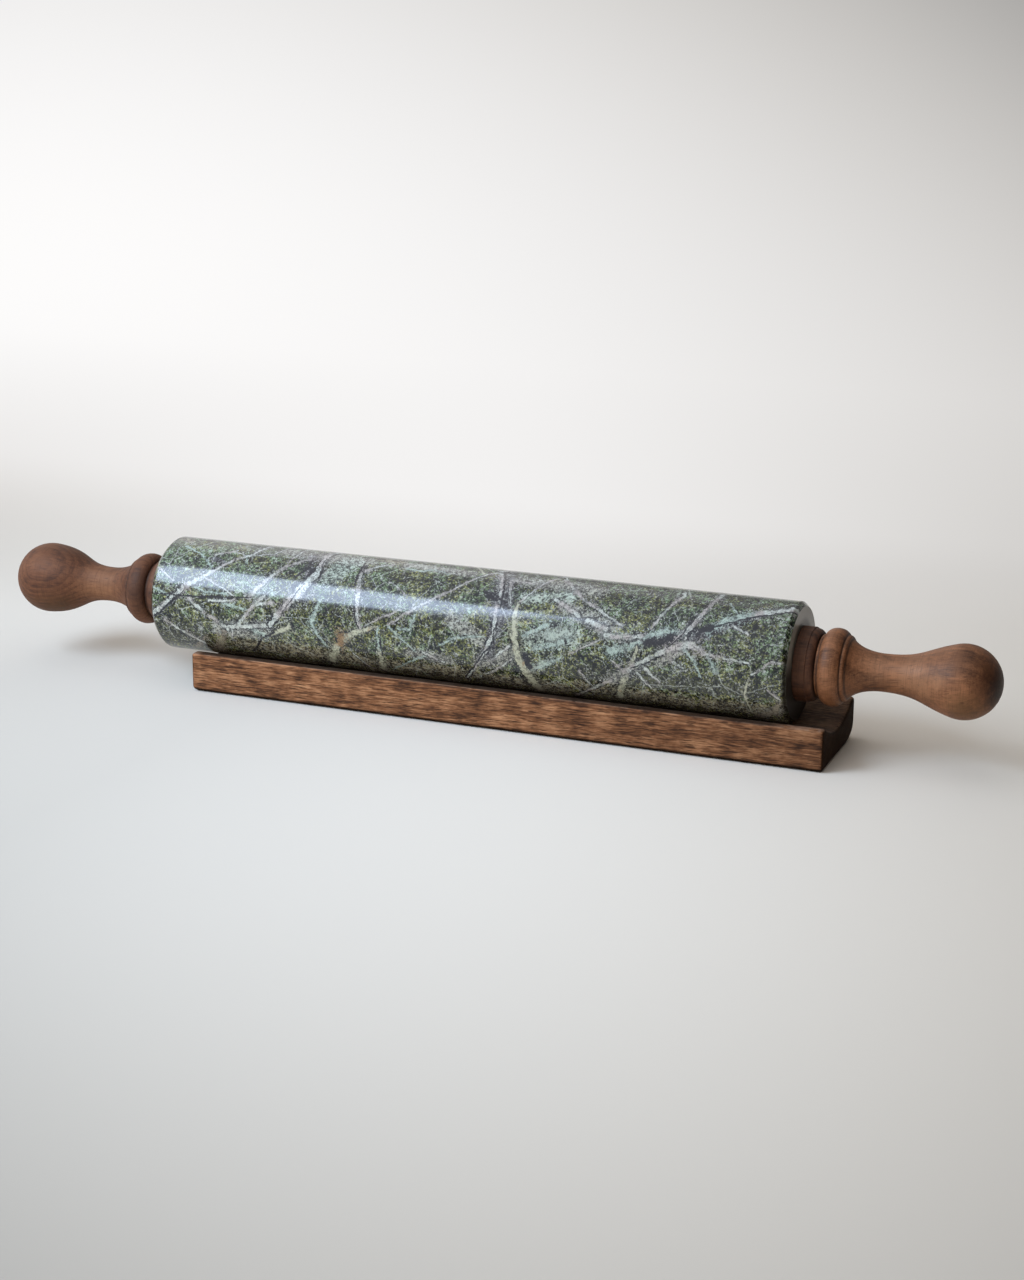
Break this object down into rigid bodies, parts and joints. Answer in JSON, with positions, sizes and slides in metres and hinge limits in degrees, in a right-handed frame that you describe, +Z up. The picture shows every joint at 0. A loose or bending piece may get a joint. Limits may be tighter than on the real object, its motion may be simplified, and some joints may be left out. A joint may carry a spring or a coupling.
{
  "type": "marble rolling pin with cradle",
  "caption": "Marble rolling pin that spins on a steel rod between two turned wooden ball handles, lying in a long wooden cradle with a round trough.",
  "frame": {"origin": "on the table, under the middle of the pin's length", "axes": "+X along the pin, towards the end where the cradle sticks out, +Y away from the cradle's front side, +Z up"},
  "size_m": [0.4572, 0.053, 0.0626],
  "materials": {
    "green_marble": "polished, with ground end faces",
    "rod_steel": "ground",
    "bush_nylon": "moulded nylon",
    "collar_wood": "oiled",
    "washer_steel": "zinc plated",
    "nut_steel": "zinc plated",
    "insert_brass": "turned",
    "left_handle_wood": "oiled",
    "right_handle_wood": "oiled",
    "cradle_wood": "open pored, worn edges"
  },
  "bodies": {
    "cradle": {"cradle": "cradle_wood"},
    "handles": {"axle_rod": "rod_steel", "left_washer": "washer_steel", "right_washer": "washer_steel", "left_lock_nut": "nut_steel", "right_lock_nut": "nut_steel", "left_thread_insert": "insert_brass", "right_thread_insert": "insert_brass", "left_handle": "left_handle_wood", "right_handle": "right_handle_wood"},
    "barrel": {"marble_barrel": "green_marble", "left_bush": "bush_nylon", "right_bush": "bush_nylon", "left_collar": "collar_wood", "right_collar": "collar_wood"}
  },
  "joints": [
    {"name": "pin_lift", "type": "slide", "parent": "cradle", "child": "handles", "axis": [0, 0, 1], "range_m": [0, 0.12]},
    {"name": "barrel_spin", "type": "hinge", "parent": "handles", "child": "barrel", "pos_m": [0, 0, 0.0372], "axis": [1, 0, 0], "continuous": true}
  ]
}
